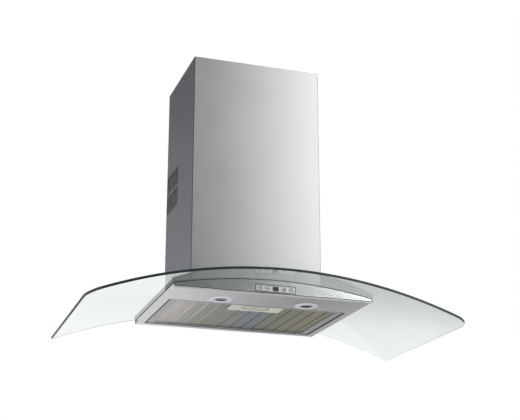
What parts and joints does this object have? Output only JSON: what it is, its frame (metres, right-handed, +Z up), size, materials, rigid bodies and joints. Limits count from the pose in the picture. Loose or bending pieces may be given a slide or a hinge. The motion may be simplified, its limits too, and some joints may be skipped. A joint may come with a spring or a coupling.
{
  "type": "range hood",
  "caption": "Wall-mounted chimney range hood with an arched glass canopy, thin steel tray, swing-down grease filter, lamps, push buttons and telescopic chimney.",
  "frame": {"origin": "on the wall plane, at the middle of the hood, level with the underside of the tray", "axes": "+X to the right seen from the room, +Y into the wall, +Z up"},
  "size_m": [0.9, 0.48, 0.6945],
  "materials": {
    "black_plastic": "fine grain",
    "black_rubber": "matt",
    "bright_aluminium": "polished",
    "bulb_glass": "clear capsule",
    "button_plastic": "satin metallised",
    "canopy_glass": "clear float glass with a green edge, polished",
    "circuit_board": "green board",
    "display_glass": "dark window",
    "filter_aluminium": "satin folded frame",
    "filter_mesh": "expanded metal",
    "flap_plastic": "moulded",
    "galvanised_steel": "galvanised sheet",
    "impeller_plastic": "moulded",
    "lamp_bezel": "satin bright ring",
    "lamp_glass": "frosted",
    "latch_plastic": "satin, pale",
    "lead_rubber": "smooth cable sheath",
    "motor_paint": "black enamel",
    "panel_plate": "fine brushed plate",
    "screw_steel": "zinc plated",
    "spring_steel": "drawn and polished",
    "stainless_steel": "brushed, grain upright on the chimney and along the tray",
    "transformer_core": "varnished laminations",
    "white_ceramic": "unglazed",
    "white_plastic": "moulded"
  },
  "bodies": {
    "hood": {"blower_scroll": "black_plastic", "blower_side_left": "black_plastic", "blower_side_right": "black_plastic", "board_switches": "black_plastic", "box_feet": "galvanised_steel", "box_screws": "screw_steel", "cable_gland": "black_plastic", "capacitor": "white_plastic", "capacitor_clip": "galvanised_steel", "chimney_cover": "stainless_steel", "control_board": "circuit_board", "control_carrier": "black_plastic", "control_lead": "lead_rubber", "control_panel": "panel_plate", "cover_brackets": "galvanised_steel", "display_window": "display_glass", "flap_axle": "spring_steel", "front_fascia": "stainless_steel", "glass_canopy": "canopy_glass", "glass_gasket": "black_rubber", "glass_nuts": "screw_steel", "glass_screws": "screw_steel", "glass_washers": "black_rubber", "lamp_bezel_left": "lamp_bezel", "lamp_bezel_right": "lamp_bezel", "lamp_bulb_left": "bulb_glass", "lamp_bulb_right": "bulb_glass", "lamp_cups": "galvanised_steel", "lamp_lens_left": "lamp_glass", "lamp_lens_right": "lamp_glass", "lamp_reflectors": "bright_aluminium", "lamp_sockets": "white_ceramic", "motor": "motor_paint", "motor_box": "galvanised_steel", "motor_bracket": "galvanised_steel", "outlet_collar": "black_plastic", "terminal_box": "white_plastic", "terminal_lid": "white_plastic", "transformer": "transformer_core", "tray_shell": "stainless_steel", "tray_top_plate": "galvanised_steel"},
    "inner_chimney": {"telescopic_cover": "stainless_steel", "upper_wall_bracket": "galvanised_steel", "bracket_screws": "screw_steel"},
    "filter": {"filter_frame": "filter_aluminium", "filter_mesh_lower": "filter_mesh", "filter_mesh_core": "filter_mesh", "filter_mesh_upper": "filter_mesh", "filter_pegs": "stainless_steel", "latch_housing": "latch_plastic", "latch_spring": "spring_steel"},
    "latch": {"latch_slider": "latch_plastic"},
    "light_key": {"light_button": "button_plastic"},
    "slower_key": {"slower_button": "button_plastic"},
    "faster_key": {"faster_button": "button_plastic"},
    "timer_key": {"timer_button": "button_plastic"},
    "rotor": {"impeller": "impeller_plastic", "motor_shaft": "spring_steel"},
    "front_flap": {"flap_front": "flap_plastic"},
    "back_flap": {"flap_back": "flap_plastic"}
  },
  "joints": [
    {"name": "chimney_telescope", "type": "slide", "parent": "hood", "child": "inner_chimney", "axis": [0, 0, 1], "range_m": [0, 0.42]},
    {"name": "filter_swing", "type": "hinge", "parent": "hood", "child": "filter", "pos_m": [0, -0.0229, 0.0048], "axis": [1, 0, 0], "range_deg": [0, 85]},
    {"name": "latch_pull", "type": "slide", "parent": "filter", "child": "latch", "axis": [0, 1, 0], "range_m": [0, 0.005], "stiffness_N_per_m": 300, "springref_m": -0.002, "deforming": ["latch_spring"]},
    {"name": "light_press", "type": "slide", "parent": "hood", "child": "light_key", "axis": [0, 1, 0], "range_m": [0, 0.0015], "stiffness_N_per_m": 500, "springref_m": -0.0006},
    {"name": "slower_press", "type": "slide", "parent": "hood", "child": "slower_key", "axis": [0, 1, 0], "range_m": [0, 0.0015], "stiffness_N_per_m": 500, "springref_m": -0.0006},
    {"name": "faster_press", "type": "slide", "parent": "hood", "child": "faster_key", "axis": [0, 1, 0], "range_m": [0, 0.0015], "stiffness_N_per_m": 500, "springref_m": -0.0006},
    {"name": "timer_press", "type": "slide", "parent": "hood", "child": "timer_key", "axis": [0, 1, 0], "range_m": [0, 0.0015], "stiffness_N_per_m": 500, "springref_m": -0.0006},
    {"name": "impeller_spin", "type": "hinge", "parent": "hood", "child": "rotor", "pos_m": [0, -0.116, 0.1607], "axis": [1, 0, 0], "continuous": true},
    {"name": "front_flap_swing", "type": "hinge", "parent": "hood", "child": "front_flap", "pos_m": [0, -0.151, 0.302], "axis": [-1, 0, 0], "range_deg": [0, 75]},
    {"name": "back_flap_swing", "type": "hinge", "parent": "hood", "child": "back_flap", "pos_m": [0, -0.151, 0.302], "axis": [1, 0, 0], "range_deg": [0, 75]}
  ]
}
